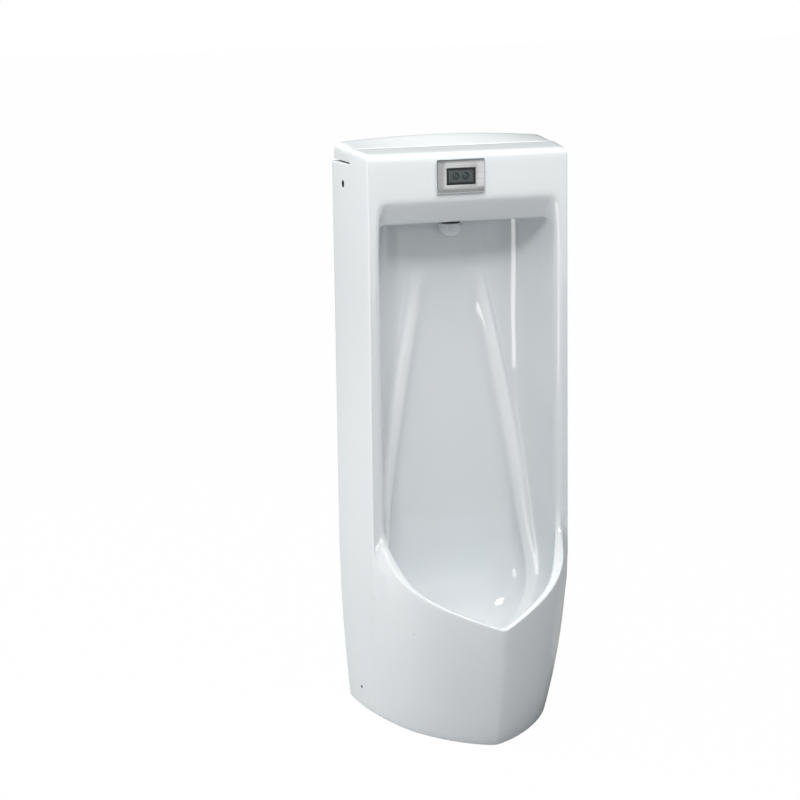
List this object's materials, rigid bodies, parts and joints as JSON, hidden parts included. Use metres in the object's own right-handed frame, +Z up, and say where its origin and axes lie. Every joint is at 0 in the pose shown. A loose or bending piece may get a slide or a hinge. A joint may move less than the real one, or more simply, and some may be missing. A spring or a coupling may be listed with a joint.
{
  "type": "floor standing urinal",
  "caption": "White china floor standing urinal with a tall ribbed niche, a pointed bowl, a lift-off rear lid and a sensor plate in the header.",
  "frame": {"origin": "centre of the footprint, on the floor; the wall plane is at +Y 0.154 m", "axes": "+Z up; -Y is the front, +Y faces the wall; +X to the right seen from the front"},
  "size_m": [0.348, 0.308, 0.908],
  "materials": {
    "china": "gloss vitreous glaze",
    "steel": "fine horizontal brushing",
    "chrome": "polished chrome plate",
    "brass": "machined",
    "window": "smoked and polished",
    "lens": "polished",
    "rubber": "matt",
    "white_plastic": "satin moulded",
    "grey_plastic": "moulded",
    "black_plastic": "moulded",
    "board": "solder mask",
    "cell": "printed sleeve, bare of words",
    "spring_steel": "drawn wire"
  },
  "bodies": {
    "urinal": {"body": "china", "lid_pads": "rubber", "sensor_plate": "steel", "sensor_window": "window", "sensor_lenses": "lens", "plate_gasket": "rubber", "sensor_housing": "grey_plastic", "sensor_board": "board", "clamp_bar": "steel", "clamp_screws": "steel", "spreader": "china", "spreader_washer": "rubber", "spreader_nut": "brass", "wall_rose": "chrome", "stop_valve": "chrome", "packing_nut": "brass", "inlet_filter": "steel", "union_nuts": "chrome", "solenoid_valve": "white_plastic", "diaphragm": "rubber", "bonnet": "steel", "bonnet_screws": "steel", "coil": "black_plastic", "plunger_spring": "spring_steel", "flush_pipe": "chrome", "valve_saddle": "steel", "battery_box": "grey_plastic", "batteries": "cell", "battery_contacts": "spring_steel", "sensor_lead": "black_plastic", "battery_lead": "black_plastic", "drain_flange": "chrome", "drain_washers": "rubber", "drain_nut": "brass", "trap_body": "white_plastic", "trap_cup": "white_plastic", "trap_seals": "rubber", "trap_nut": "white_plastic", "outlet_pipe": "white_plastic", "floor_flange": "grey_plastic", "floor_seal": "rubber", "wall_brackets": "steel", "floor_brackets": "steel", "side_screws": "steel"},
    "lid": {"lid": "china"},
    "strainer": {"strainer": "chrome"},
    "stop_spindle": {"stop_spindle": "brass", "stop_ball": "chrome"},
    "plunger": {"plunger": "steel"},
    "battery_cover": {"battery_cover": "black_plastic"}
  },
  "joints": [
    {"name": "lid_lift", "type": "slide", "parent": "urinal", "child": "lid", "axis": [0, 0, 1], "range_m": [0, 0.06]},
    {"name": "strainer_lift", "type": "slide", "parent": "urinal", "child": "strainer", "axis": [0, 0, 1], "range_m": [0, 0.03]},
    {"name": "stop_turn", "type": "hinge", "parent": "urinal", "child": "stop_spindle", "pos_m": [0.104, 0.097, 0.832], "axis": [0, 0, 1], "range_deg": [0, 90]},
    {"name": "plunger_slide", "type": "slide", "parent": "urinal", "child": "plunger", "axis": [0, 0, 1], "range_m": [0, 0.004], "stiffness_N_per_m": 100, "deforming": ["plunger_spring"]},
    {"name": "battery_cover_hinge", "type": "hinge", "parent": "urinal", "child": "battery_cover", "pos_m": [-0.104, 0.1058, 0.8002], "axis": [1, 0, 0], "range_deg": [0, 90]}
  ]
}
